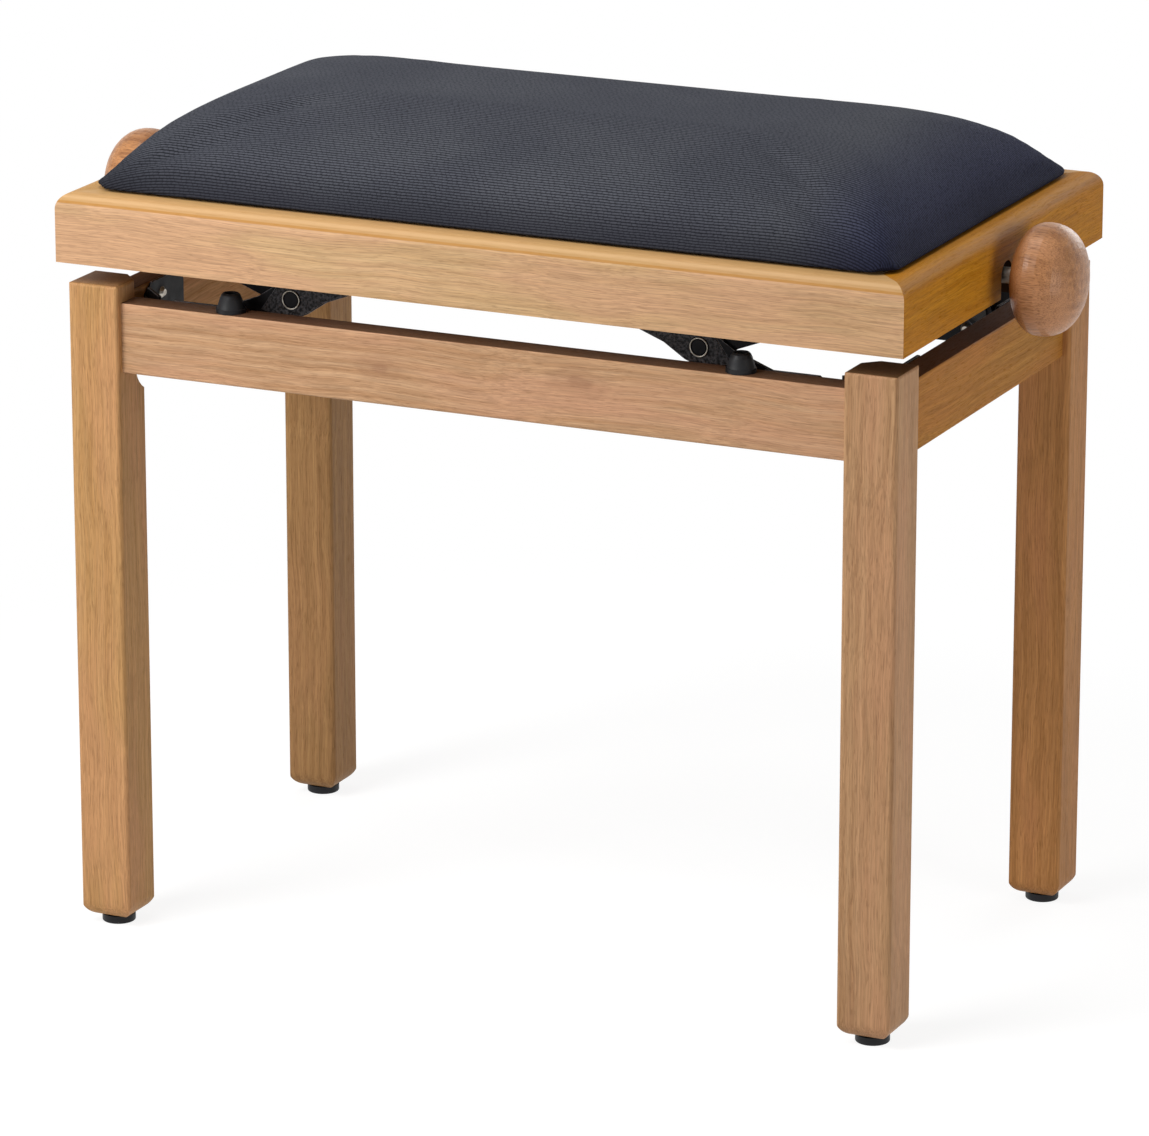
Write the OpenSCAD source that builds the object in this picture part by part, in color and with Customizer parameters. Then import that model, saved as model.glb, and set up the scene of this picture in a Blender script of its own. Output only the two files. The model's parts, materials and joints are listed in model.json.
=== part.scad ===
// Adjustable piano bench: a wooden underframe on four legs, and a padded seat frame
// that two screw-driven half-scissor linkages raise and lower.
// Millimetres. X runs left to right, Y front to back and Z up.
// The origin is on the floor, in the middle of the four legs.

/* [Seat frame] */
// Outside length of the seat frame, left to right
seat_len = 555; // [480:5:680]
// Outside depth of the seat frame, front to back
seat_dep = 326; // [290:2:400]
// Height of the four seat rails
seat_rail_h = 43; // [40:1:54]
// Thickness of the four seat rails
seat_rail_t = 22; // [17:0.5:26]
// Radius along the top outer edge of the seat rails
seat_edge_r = 10; // [4:0.5:14]
// Thickness of the board under the cushion
board_t = 12; // [9:0.5:15]

/* [Cushion] */
// Distance from the outside of the seat frame to the cushion
cushion_inset = 15.5; // [10:0.5:25]
// Height of the cushion's crown above the seat frame
crown_h = 51; // [35:1:60]
// Corner radius of the cushion's outline
cushion_r = 12; // [6:1:30]

/* [Legs] */
// Height of the leg tops above the floor
leg_top_z = 414; // [330:2:500]
// Side of the square legs
leg_w = 34; // [30:0.5:42]
// Radius along the legs' long edges
leg_edge_r = 2.5; // [1:0.25:4]
// Radius round the lower end of each leg
leg_foot_r = 11; // [4:0.5:11]
// Width of the flat cut across each leg's inner corner
corner_cut = 12; // [8:0.5:13]
// Diameter of the foot glides
glide_d = 21; // [16:0.5:26]
// Thickness of the foot glides
glide_h = 5; // [3:0.5:8]

/* [Underframe] */
// How far the seat frame stands out past the legs, all round
seat_overhang = 5; // [2:0.5:10]
// Space between the leg tops and the seat frame at rest
frame_gap = 13; // [12:0.5:25]
// Height of the underframe rails
rail_h = 44; // [38:0.5:60]
// Thickness of the underframe rails
rail_t = 19; // [15:0.5:22]
// How far the rails stand back from the legs' outer faces
rail_inset = 5; // [2:0.5:8]
// How far the rails' top faces lie below the leg tops
rail_drop = 11; // [8:0.5:20]

/* [Linkage] */
// Distance between two neighbouring pivots of an arm
arm_half = 82; // [76:1:100]
// Width of the arms
arm_w = 16; // [12:0.5:20]
// Thickness of the arm plates
arm_t = 2.5; // [2:0.25:3]
// Diameter of the pivot pins
pin_d = 8; // [6:0.5:9]
// Height of the drive screw above the seat frame's lower edge
screw_up = 13; // [12:0.5:16]
// Diameter of the drive screw
screw_d = 10; // [8:0.5:12]
// Drop below the rest height, down to the bumpers
lift_down = 12; // [4:1:12]

/* [Knobs] */
// Diameter of the turning knobs
knob_d = 68; // [50:1:80]
// Thickness of the turning knobs
knob_t = 41; // [30:1:50]
// Space between a knob and the end rail
knob_gap = 7.5; // [4:0.5:12]

/* [Hidden] */
$fn = 64;

// Signs of the two sides
LEFT = -1;
RIGHT = 1;
FRONT = -1;
BACK = 1;

// Clearances
running = 0.06;      // shaft in its hole, on the radius
press = 0.02;        // what is riveted or pressed together
plate_gap = 0.3;     // between the two arm plates of a pair, and to the ears beside them
head_gap = 0.6;      // pivot heads to the plates outside them
pin_short = 0.2;     // pin ends to the wood behind them
arm_gap = 3.5;       // arm ends to the corner brackets
board_gap = 0.2;     // board to seat rails
cushion_gap = 0.3;   // cushion to what it rests on
stop_gap = 0.3;      // bumper to seat frame at the lowest position

// Legs
leg_x = seat_len/2 - seat_overhang - leg_w/2;
leg_y = seat_dep/2 - seat_overhang - leg_w/2;
leg_top_r = 2;
cut_run_out_r = 20;

// Underframe rails
rail_edge_r = 1.5;
rail_z1 = leg_top_z - rail_drop;
rail_z0 = rail_z1 - rail_h;
rail_mid_z = rail_z0 + rail_h/2;
rail_out_x = leg_x + leg_w/2 - rail_inset;
rail_out_y = leg_y + leg_w/2 - rail_inset;
rail_in_x = rail_out_x - rail_t;
rail_in_y = rail_out_y - rail_t;
leg_in_x = leg_x - leg_w/2;
leg_in_y = leg_y - leg_w/2;

// Corner brackets and their fasteners
sheet_t = 2;
bracket_h = rail_h;
bracket_start = 18;
bracket_flange = 48;
bracket_chamfer = 9;
bracket_screw_at = 20;
screw_spread = 26;
bolt_r = 3;
bolt_in_leg = 22;
bolt_past_plate = 14;
nut_w = 10;
nut_t = 5;
diagonal = sqrt(2);
rail_step = rail_in_y - leg_in_y;
// From the middle of a leg's cut face to the inner face of the bracket's diagonal
bolt_reach = (corner_cut + bracket_start - rail_step)/diagonal + sheet_t;

// Wood screws: radius of shank and head, and lengths
wood_r = 1.75;
wood_len = 11;
head_r = 3.6;
head_t = 2;

// Bumpers
bumper_x = 168;
bumper_y = (rail_out_y + rail_in_y)/2;
bumper_h = rail_drop + frame_gap - lift_down - stop_gap;
bumper_flange_r = 9.2;
bumper_flange_t = 2.6;
bumper_foot_r = 8.6;
bumper_top_r = 5.8;
bumper_shoulder = 3;
bumper_hole_r = 3.8;
bumper_floor = 4;

// Seat frame
frame_z0 = leg_top_z + frame_gap;
frame_z1 = frame_z0 + seat_rail_h;
seat_in_x = seat_len/2 - seat_rail_t;
seat_in_y = seat_dep/2 - seat_rail_t;
board_z0 = frame_z1 - board_t;

// Plates that carry the lower pivots
pivot_plate_t = 2;
pivot_plate_r = 8;
pivot_plate_w = 8;
pivot_plate_reach = 15;
stud_r = 2.2;
stud_t = 0.8;

// Linkage pivots, for the right-hand side
// The short arms lie inside the long arms, which lie just inside the corner brackets
pin_r = pin_d/2;
eye_r = arm_w/2 + 1;
mid_eye_r = arm_w/2 + 3.5;
lozenge_run = 22;
lozenge_flat = 12;
rivet_r = 5.5;
rivet_t = 1.4;
ring_r = 6;
ring_w = 1.6;
long_y1 = rail_in_y - sheet_t - pivot_plate_t - rivet_t - head_gap;
long_y0 = long_y1 - arm_t;
short_y1 = long_y0 - plate_gap;
short_y0 = short_y1 - arm_t;
screw_z = frame_z0 + screw_up;
rise = screw_z - rail_mid_z;
arm_angle = asin(rise/(2*arm_half));
arm_run = arm_half*cos(arm_angle);
base_x = leg_in_x - bracket_start + (rail_in_y - long_y1) - sheet_t*diagonal - eye_r - arm_gap;
mid_x = base_x - arm_run;
nut_x = mid_x - arm_run;
mid_z = rail_mid_z + rise/2;

// Raised face on a long arm
boss_t = 0.8;
boss_margin = 0.8;
boss_run_short = 6;

// Play that the open pivots need, because the arms turn evenly with the lift
top_play = 2.6;
nut_play = 4.2;
nut_eye_r = pin_r + nut_play + 4;

// Brackets that carry the upper pivots
ear_r = 10;
top_ear_y = short_y0 - plate_gap - sheet_t;
top_bracket_w = 30;
top_screws_y = [35, 100];

// Drive screw, bearings, collars and nut bars
screw_r = screw_d/2;
bearing_w = 52;
bearing_h = seat_rail_h - board_t - 1;
bearing_screw_y = 18;
slot_r = 9;
collar_r = 9;
collar_t = 8;
knob_x = seat_len/2 + knob_gap;
knob_bore = 24;
bar_t = 12;
bar_h = 20;
boss_r = 11;
boss_len = 26;
bar_y = top_ear_y - 1;

WOOD = [0.80, 0.60, 0.38];
KNOB_WOOD = [0.62, 0.38, 0.22];
PLY = [0.78, 0.66, 0.47];
FABRIC = [0.10, 0.11, 0.14];
BLACK_STEEL = [0.09, 0.09, 0.10];
ZINC = [0.68, 0.68, 0.66];
RUBBER = [0.06, 0.06, 0.07];

// ---- Shared shapes ----

// Mirrors its children, which are made for the right back corner
module at_corner(side_x, side_y)
    mirror([side_x < 0 ? 1 : 0, 0, 0]) mirror([0, side_y < 0 ? 1 : 0, 0]) children();

module all_corners()
    for (side_x = [LEFT, RIGHT], side_y = [FRONT, BACK]) at_corner(side_x, side_y) children();

// Rectangle centred on the origin with round corners
module round_rect(w, h, r) {
    square([w - 2*r, h], center = true);
    square([w, h - 2*r], center = true);
    for (sx = [-1, 1], sy = [-1, 1]) translate([sx*(w/2 - r), sy*(h/2 - r)]) circle(r);
}

// Extrudes an outline drawn in X and Z from y0 towards the back
module plate_xz(y0, t) translate([0, y0 + t, 0]) rotate([90, 0, 0]) linear_extrude(t) children();

// Extrudes an outline drawn in Y and Z along X, centred
module bar_x(len) rotate([90, 0, 90]) linear_extrude(len, center = true) children();

// Pin along Y from y0 to y1
module pin_y(x, z, r, y0, y1) translate([x, y1, z]) rotate([90, 0, 0]) cylinder(h = y1 - y0, r = r);

// Pin along X from x0 to x1
module pin_x(y, z, r, x0, x1) translate([x0, y, z]) rotate([0, 90, 0]) cylinder(h = x1 - x0, r = r);

// Wood screw whose head sits on the plane z = 0 and whose shank points down
module wood_screw() {
    cylinder(h = head_t, r1 = head_r, r2 = head_r*0.55);
    translate([0, 0, -wood_len]) cylinder(h = wood_len + head_t/2, r = wood_r);
}

// ---- Underframe ----

// Side view of a leg: a large radius at the floor end and a small one on top
module leg_outline() {
    h = leg_top_z - glide_h;
    translate([0, glide_h]) {
        translate([-leg_w/2, leg_foot_r]) square([leg_w, h - leg_foot_r - leg_top_r]);
        translate([-leg_w/2 + leg_foot_r, 0]) square([leg_w - 2*leg_foot_r, h]);
        translate([-leg_w/2 + leg_top_r, leg_foot_r]) square([leg_w - 2*leg_top_r, h - leg_foot_r]);
        for (s = [-1, 1]) translate([s*(leg_w/2 - leg_foot_r), leg_foot_r]) circle(leg_foot_r);
        for (s = [-1, 1]) translate([s*(leg_w/2 - leg_top_r), h - leg_top_r]) circle(leg_top_r);
    }
}

// Removes the inner corner, down to a curved run-out that starts under the rails
module leg_corner_cut() {
    depth = corner_cut/diagonal;
    translate([-leg_w/2, -leg_w/2, 0]) rotate([0, 0, 45]) {
        translate([depth - cut_run_out_r, -leg_w, rail_z0])
            cube([cut_run_out_r, 2*leg_w, leg_top_z]);
        translate([depth - cut_run_out_r, leg_w, rail_z0])
            rotate([90, 0, 0]) cylinder(h = 2*leg_w, r = cut_run_out_r);
    }
}

// Centre line of a corner's hanger bolt: local X points from the bench into the leg
module along_bolt()
    translate([leg_in_x + corner_cut/2, leg_in_y + corner_cut/2, rail_mid_z])
        rotate([0, 0, 45]) children();

module leg(side_x, side_y) color(WOOD) at_corner(side_x, side_y) difference() {
    translate([leg_x, leg_y, 0]) difference() {
        intersection() {
            linear_extrude(leg_top_z) round_rect(leg_w, leg_w, leg_edge_r);
            plate_xz(-leg_w/2 - 1, leg_w + 2) leg_outline();
            bar_x(leg_w + 2) leg_outline();
        }
        leg_corner_cut();
    }
    along_bolt() pin_x(0, 0, bolt_r + running, -1, bolt_in_leg + 1);
}

// One glide under each leg, with a softened lower edge
module foot_glides() color(RUBBER) all_corners() translate([leg_x, leg_y, 0]) rotate_extrude() {
    square([glide_d/2 - 1, glide_h]);
    translate([0, 1]) square([glide_d/2, glide_h - 1]);
    translate([glide_d/2 - 1, 1]) circle(1, $fn = 32);
}

// Holes for the screws that hold the steel parts to the rails
module base_screw_holes() all_corners() corner_screw_places()
    translate([0, 0, -wood_len - 0.5]) cylinder(h = wood_len + 1.5, r = wood_r + running);

// Rail along X; it lies between the legs, on the back side
module long_rail(side_y) color(WOOD) difference() {
    mirror([0, side_y < 0 ? 1 : 0, 0])
        translate([0, (rail_out_y + rail_in_y)/2, rail_mid_z])
            bar_x(2*leg_in_x) round_rect(rail_t, rail_h, rail_edge_r);
    base_screw_holes();
    for (s = [LEFT, RIGHT]) translate([s*bumper_x, side_y*bumper_y, rail_z1 - wood_len])
        cylinder(h = wood_len + 1, r = wood_r + running);
}

// Rail along Y, between the front and back legs
module end_rail(side_x) color(WOOD) difference() {
    translate([side_x*(rail_out_x + rail_in_x)/2, 0, rail_mid_z])
        rotate([0, 0, 90]) bar_x(2*leg_in_y) round_rect(rail_t, rail_h, rail_edge_r);
    base_screw_holes();
}

// Plan of a corner bracket: two flanges on the rails and a diagonal between them
module bracket_plan() {
    x = leg_in_x - bracket_start;
    y = leg_in_y - bracket_start;
    bend = sheet_t*tan(22.5);
    polygon([
        [x - bracket_flange, rail_in_y], [x, rail_in_y],
        [rail_in_x, y], [rail_in_x, y - bracket_flange],
        [rail_in_x - sheet_t, y - bracket_flange], [rail_in_x - sheet_t, y - bend],
        [x - bend, rail_in_y - sheet_t], [x - bracket_flange, rail_in_y - sheet_t]
    ]);
}

// Square nick that a stamped plate has at each end of a bend
module bend_relief(x, y, z) translate([x, y, z]) rotate([0, 0, 45]) rotate([0, 45, 0])
    cube([bracket_chamfer, 8*sheet_t, bracket_chamfer], center = true);

// Cuts off the four outer corners of a bracket's two flanges and relieves its bends
module bracket_chamfers() {
    for (z = [-1, 1]) {
        bend_relief(leg_in_x - bracket_start, rail_in_y, rail_mid_z + z*bracket_h/2);
        bend_relief(rail_in_x, leg_in_y - bracket_start, rail_mid_z + z*bracket_h/2);
        translate([rail_in_x, leg_in_y - bracket_start - bracket_flange, rail_mid_z + z*bracket_h/2])
            rotate([45, 0, 0]) cube([3*sheet_t, bracket_chamfer, bracket_chamfer], center = true);
        translate([leg_in_x - bracket_start - bracket_flange, rail_in_y, rail_mid_z + z*bracket_h/2])
            rotate([0, 45, 0]) cube([bracket_chamfer, 3*sheet_t, bracket_chamfer], center = true);
    }
}

module corner_bracket(side_x, side_y) color(BLACK_STEEL) at_corner(side_x, side_y) difference() {
    translate([0, 0, rail_mid_z - bracket_h/2]) linear_extrude(bracket_h) bracket_plan();
    bracket_chamfers();
    along_bolt() pin_x(0, 0, bolt_r + 0.4, -40, 0);
    base_pivot_hole();
    corner_screw_places() translate([0, 0, -5]) cylinder(h = 10, r = wood_r + 0.3);
}

// Screw places in a corner bracket's flanges; local Z points away from the wood
module corner_screw_places() for (z = [-1, 1]) {
    translate([rail_in_x - sheet_t, leg_in_y - bracket_start - bracket_screw_at,
               rail_mid_z + z*screw_spread/2]) rotate([0, -90, 0]) children();
    translate([leg_in_x - bracket_start - bracket_screw_at, rail_in_y - sheet_t,
               rail_mid_z + z*screw_spread/2]) rotate([90, 0, 0]) children();
}

module base_screws() color(ZINC) all_corners() corner_screw_places() wood_screw();

module hanger_bolts() color(ZINC) all_corners()
    along_bolt() pin_x(0, 0, bolt_r, -bolt_reach - bolt_past_plate, bolt_in_leg);

module hanger_nuts() color(ZINC) all_corners() along_bolt() difference() {
    translate([-bolt_reach - nut_t, 0, 0]) rotate([0, 90, 0])
        cylinder(h = nut_t, r = nut_w/sqrt(3), $fn = 6);
    pin_x(0, 0, bolt_r + running, -bolt_reach - nut_t - 1, 0);
}

// Rubber buffer with a recessed screw hole
module bumper() rotate_extrude() difference() {
    union() {
        square([bumper_flange_r, bumper_flange_t]);
        polygon([
            [0, 0], [bumper_foot_r, bumper_flange_t], [bumper_top_r + 0.9, bumper_h - bumper_shoulder],
            [bumper_top_r, bumper_h - 1], [bumper_top_r - 1, bumper_h], [0, bumper_h]
        ]);
    }
    translate([0, bumper_floor]) square([bumper_hole_r, bumper_h]);
    translate([-1, -1]) square([wood_r + 0.2 + 1, bumper_h]);
}

module bumpers() color(RUBBER) all_corners() translate([bumper_x, bumper_y, rail_z1]) bumper();

module bumper_screws() color(ZINC) all_corners()
    translate([bumper_x, bumper_y, rail_z1 + bumper_floor]) {
        cylinder(h = head_t, r1 = bumper_hole_r - 0.3, r2 = 1.8);
        translate([0, 0, -wood_len]) cylinder(h = wood_len + head_t/2, r = wood_r);
    }

// Hole for a lower pivot pin, through the steel on the rail's inner face
module base_pivot_hole() pin_y(base_x, rail_mid_z, pin_r + running,
                               rail_in_y - sheet_t - pivot_plate_t - 1, rail_in_y + 1);

// Two plates riveted to the corner brackets' flanges; they carry the lower pivots
module base_bracket(side_x) color(BLACK_STEEL) for (s = [FRONT, BACK]) at_corner(side_x, s)
    difference() {
        y = rail_in_y - sheet_t - pivot_plate_t;
        union() {
            plate_xz(y, pivot_plate_t) translate([base_x, rail_mid_z]) {
                circle(pivot_plate_r);
                square([pivot_plate_w, 2*pivot_plate_reach], center = true);
                for (z = [-1, 1]) translate([0, z*pivot_plate_reach]) circle(pivot_plate_w/2 + 0.6);
            }
            for (z = [-1, 1])
                pin_y(base_x, rail_mid_z + z*pivot_plate_reach, stud_r, y - stud_t, y + 1);
        }
        base_pivot_hole();
    }

// ---- Seat ----

// Cross-section of a seat rail with its outside at x = 0 and its bottom at z = 0
module seat_rail_section() {
    translate([0, 0]) square([seat_rail_t, seat_rail_h - seat_edge_r]);
    translate([seat_edge_r, 0]) square([seat_rail_t - seat_edge_r, seat_rail_h]);
    translate([seat_edge_r, seat_rail_h - seat_edge_r]) circle(seat_edge_r);
}

// Mitred rail whose outside lies at y = -out; length is measured along X
module mitred_rail(len, out) intersection() {
    translate([0, -out, frame_z0]) bar_x(len) seat_rail_section();
    linear_extrude(frame_z1 + 1) polygon([
        [-len/2, -out], [len/2, -out],
        [len/2 - seat_rail_t, -out + seat_rail_t], [-len/2 + seat_rail_t, -out + seat_rail_t]
    ]);
}

module seat_screw_holes() seat_screw_places()
    translate([0, 0, -wood_len - 0.5]) cylinder(h = wood_len + 1.5, r = wood_r + running);

module seat_long_rail(side_y) color(WOOD)
    rotate([0, 0, side_y < 0 ? 0 : 180]) mitred_rail(seat_len, seat_dep/2);

// End rail with the slot that the drive screw comes out of, open below
module seat_end_rail(side_x) color(WOOD) difference() {
    rotate([0, 0, side_x < 0 ? -90 : 90]) mitred_rail(seat_dep, seat_len/2);
    pin_x(0, screw_z, slot_r, -seat_len, seat_len);
    translate([-seat_len, -slot_r, frame_z0 - 1]) cube([2*seat_len, 2*slot_r, screw_up + 1]);
    seat_screw_holes();
}

module seat_board() color(PLY) difference() {
    translate([-seat_in_x + board_gap, -seat_in_y + board_gap, board_z0])
        cube([2*(seat_in_x - board_gap), 2*(seat_in_y - board_gap), board_t]);
    seat_screw_holes();
}

// Crowned cushion: its outline draws in further along the sides than at the ends
module cushion() color(FABRIC) {
    w = seat_len - 2*cushion_inset;
    d = seat_dep - 2*cushion_inset;
    z0 = frame_z1 + cushion_gap;
    draw_in = [71, 99];
    fall = 0.85;
    swell = 1.5;
    rim = 4.5;
    steps = 8;
    rise = crown_h - cushion_gap - rim - 1;
    hull() {
        translate([0, 0, z0]) linear_extrude(rim) round_rect(w, d, cushion_r, $fn = 32);
        for (i = [1:steps]) {
            a = 90*i/steps;
            cut = draw_in*pow(1 - cos(a), fall);
            translate([0, 0, z0 + rim + rise*pow(sin(a), swell)]) linear_extrude(1)
                round_rect(w - 2*cut[0], d - 2*cut[1], cushion_r + cut[0]/2, $fn = 32);
        }
    }
}

// Screw places of the top brackets and the bearing plates
module top_screw_places() for (y = top_screws_y, s = [FRONT, BACK], x = [-1, 1])
    translate([base_x + x*top_bracket_w/4, s*y, board_z0 - sheet_t])
        rotate([180, 0, 0]) children();

module bearing_screw_places() for (s = [FRONT, BACK])
    translate([seat_in_x - sheet_t, s*bearing_screw_y, screw_z]) rotate([0, -90, 0]) children();

module seat_screw_places() for (side_x = [LEFT, RIGHT]) at_corner(side_x, BACK) {
    top_screw_places() children();
    bearing_screw_places() children();
}

module seat_screws() color(ZINC) seat_screw_places() wood_screw();

// Plate under the board with an ear at each end; a tall slot guides the top pin
module top_bracket(side_x) color(BLACK_STEEL) at_corner(side_x, BACK) difference() {
    union() {
        translate([base_x - top_bracket_w/2, -top_ear_y - sheet_t, board_z0 - sheet_t])
            cube([top_bracket_w, 2*(top_ear_y + sheet_t), sheet_t]);
        for (s = [FRONT, BACK])
            plate_xz(s*(top_ear_y + sheet_t/2) - sheet_t/2, sheet_t) {
                translate([base_x, screw_z]) circle(ear_r);
                translate([base_x - ear_r, screw_z]) square([2*ear_r, board_z0 - screw_z]);
            }
    }
    for (z = [-top_play, top_play])
        pin_y(base_x, screw_z + z, pin_r + running, -top_ear_y - 5, top_ear_y + 5);
    translate([base_x - pin_r - running, -top_ear_y - 5, screw_z - top_play])
        cube([2*(pin_r + running), 2*top_ear_y + 10, 2*top_play]);
    top_screw_places() translate([0, 0, -5]) cylinder(h = 10, r = wood_r + 0.3);
}

// Plate on the end rail's inner face that carries the drive screw
module rod_bearing(side_x) color(BLACK_STEEL) at_corner(side_x, BACK) difference() {
    union() {
        translate([seat_in_x - sheet_t, -bearing_w/2, board_z0 - bearing_h - 1])
            cube([sheet_t, bearing_w, bearing_h]);
        pin_x(0, screw_z, slot_r - 1, seat_in_x - sheet_t, seat_in_x + 5);
    }
    pin_x(0, screw_z, screw_r + running, seat_in_x - 10, seat_in_x + 10);
    bearing_screw_places() translate([0, 0, -5]) cylinder(h = 10, r = wood_r + 0.3);
}

// ---- Drive screw, knobs and nuts ----

// Steel rod with plain journals; left-hand and right-hand threads run between the bearings
module drive_screw() color(ZINC) pin_x(0, screw_z, screw_r, -knob_x - knob_bore, knob_x + knob_bore);

// Turned knob: the widest circle lies nearer the back
module knob(side_x) color(KNOB_WOOD) at_corner(side_x, BACK)
    translate([knob_x, 0, screw_z]) rotate([0, 90, 0]) difference() {
        rotate_extrude() polygon(concat([[0, 0]], knob_profile(), [[0, knob_t]]));
        translate([0, 0, -1]) cylinder(h = knob_bore + 1.5, r = screw_r + press);
    }

// Points of the knob's side, from the back face round to the front pole
function knob_profile() = let (back = 0.42*knob_t, front = knob_t - back, round = 0.86)
    [for (a = [-72:8:88])
        [knob_d/2*pow(cos(a), round),
         back + (a < 0 ? -back/pow(sin(72), round) : front)*pow(abs(sin(a)), round)]];

// Collar on the screw, just inside each bearing
module collar(side_x) color(ZINC) at_corner(side_x, BACK) difference() {
    pin_x(0, screw_z, collar_r, seat_in_x - sheet_t - collar_t - running, seat_in_x - sheet_t - running);
    pin_x(0, screw_z, screw_r + press, seat_in_x - 20, seat_in_x);
}

// Cross bar with a threaded boss; its end pins push the upper ends of the long arms
module nut_bar(side_x) color(BLACK_STEEL) at_corner(side_x, BACK) difference() {
    union() {
        translate([nut_x - bar_t/2, -bar_y, screw_z - bar_h/2]) cube([bar_t, 2*bar_y, bar_h]);
        pin_x(0, screw_z, boss_r, nut_x - boss_len/2, nut_x + boss_len/2);
        for (s = [FRONT, BACK]) at_corner(RIGHT, s) {
            pin_y(nut_x, screw_z, pin_r, bar_y - 1, long_y1 + plate_gap + rivet_t);
            pin_y(nut_x, screw_z, nut_eye_r - 2, long_y1 + plate_gap, long_y1 + plate_gap + rivet_t);
        }
    }
    pin_x(0, screw_z, screw_r + running, nut_x - boss_len, nut_x + boss_len);
}

// ---- Arms ----

// Long arm along X: an eye at each end, and a wider stretch round the middle pivot
module long_arm_outline() {
    len = 2*arm_half;
    w = arm_w/2;
    low = arm_half - lozenge_run;
    high = arm_half + lozenge_run;
    flat = lozenge_flat/2;
    polygon([
        [0, -w], [low, -w], [arm_half - flat, -mid_eye_r], [arm_half + flat, -mid_eye_r],
        [high, -w], [len, -w], [len, w], [high, w],
        [arm_half + flat, mid_eye_r], [arm_half - flat, mid_eye_r], [low, w], [0, w]
    ]);
    circle(eye_r);
    translate([len, 0]) circle(nut_eye_r);
}

// Short arm along X: it starts at the middle pivot, where it is wider
module short_arm_outline() {
    w = arm_w/2;
    flat = lozenge_flat/2;
    polygon([
        [0, -mid_eye_r], [flat, -mid_eye_r], [lozenge_run, -w], [arm_half, -w],
        [arm_half, w], [lozenge_run, w], [flat, mid_eye_r], [0, mid_eye_r]
    ]);
    circle(mid_eye_r + 0.5);
    translate([arm_half, 0]) circle(eye_r);
}

// Raised face of a long arm: it is pointed below the middle pivot and runs on up the arm
module arm_boss_outline() {
    w = arm_w/2 - boss_margin;
    wide = mid_eye_r - boss_margin;
    flat = lozenge_flat/2;
    far = 2*arm_half - nut_eye_r - boss_run_short;
    polygon([
        [arm_half - lozenge_run, 0], [arm_half - flat, -wide], [arm_half + flat, -wide],
        [arm_half + lozenge_run, -w], [far, -w], [far, w],
        [arm_half + lozenge_run, w], [arm_half + flat, wide], [arm_half - flat, wide]
    ]);
}

// From the lower pivot through the middle pivot to the nut bar
module long_arm(side_x, side_y) color(BLACK_STEEL) at_corner(side_x, side_y) {
    plate_xz(long_y0, arm_t) translate([base_x, rail_mid_z]) rotate(180 - arm_angle) difference() {
        long_arm_outline();
        circle(pin_r + press);
        translate([arm_half, 0]) circle(pin_r + press);
        translate([2*arm_half, 0]) circle(pin_r + nut_play);
    }
    plate_xz(long_y1 - press, boss_t + press) translate([base_x, rail_mid_z])
        rotate(180 - arm_angle) difference() {
            arm_boss_outline();
            translate([arm_half, 0]) circle(ring_r + plate_gap);
        }
}

// From the middle pivot up to the top bracket
module short_arm(side_x, side_y) color(BLACK_STEEL) at_corner(side_x, side_y)
    plate_xz(short_y0, arm_t) translate([mid_x, mid_z]) rotate(arm_angle) difference() {
        short_arm_outline();
        circle(pin_r + running);
        translate([arm_half, 0]) circle(pin_r + press);
    }

// Short pins fixed in the long arms; they turn in the corner brackets' flanges
module base_pivot(side_x) color(ZINC) for (s = [FRONT, BACK]) at_corner(side_x, s) {
    pin_y(base_x, rail_mid_z, pin_r, long_y0 - rivet_t, rail_in_y - pin_short);
    pin_y(base_x, rail_mid_z, rivet_r, long_y0 - rivet_t, long_y0 - press);
    pin_y(base_x, rail_mid_z, rivet_r, long_y1 + press, long_y1 + rivet_t);
}

// Rivets at the middle pivots, with a flanged head outside
module mid_pivots(side_x) color(BLACK_STEEL) for (s = [FRONT, BACK]) at_corner(side_x, s) {
    pin_y(mid_x, mid_z, pin_r, short_y0 - rivet_t, long_y1 + rivet_t);
    pin_y(mid_x, mid_z, ring_r, short_y0 - rivet_t, short_y0 - running);
    pin_y(mid_x, mid_z, ring_r, long_y1 + press, long_y1 + rivet_t/2);
    pin_y(mid_x, mid_z, ring_r - ring_w, long_y1 + press, long_y1 + rivet_t);
}

// Pins from the short arms through the slots of the top brackets
module top_pins(side_x) color(ZINC) for (s = [FRONT, BACK]) at_corner(side_x, s) {
    pin_y(base_x, screw_z, pin_r, top_ear_y - plate_gap - rivet_t, short_y1 + rivet_t);
    pin_y(base_x, screw_z, rivet_r + 1, top_ear_y - plate_gap - rivet_t, top_ear_y - plate_gap);
    pin_y(base_x, screw_z, rivet_r, short_y1 + press, short_y1 + rivet_t);
}

// ---- Nodes ----

leg(LEFT, FRONT);  // leg_front_left
leg(RIGHT, FRONT);  // leg_front_right
leg(LEFT, BACK);  // leg_back_left
leg(RIGHT, BACK);  // leg_back_right
foot_glides();
long_rail(FRONT);  // base_rail_front
long_rail(BACK);  // base_rail_back
end_rail(LEFT);  // base_rail_left
end_rail(RIGHT);  // base_rail_right
corner_bracket(LEFT, FRONT);  // corner_bracket_front_left
corner_bracket(RIGHT, FRONT);  // corner_bracket_front_right
corner_bracket(LEFT, BACK);  // corner_bracket_back_left
corner_bracket(RIGHT, BACK);  // corner_bracket_back_right
hanger_bolts();
hanger_nuts();
base_screws();
bumpers();
bumper_screws();
base_bracket(LEFT);  // base_bracket_left
base_bracket(RIGHT);  // base_bracket_right
seat_long_rail(FRONT);  // seat_rail_front
seat_long_rail(BACK);  // seat_rail_back
seat_end_rail(LEFT);  // seat_rail_left
seat_end_rail(RIGHT);  // seat_rail_right
seat_board();
cushion();
top_bracket(LEFT);  // top_bracket_left
top_bracket(RIGHT);  // top_bracket_right
rod_bearing(LEFT);  // rod_bearing_left
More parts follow.
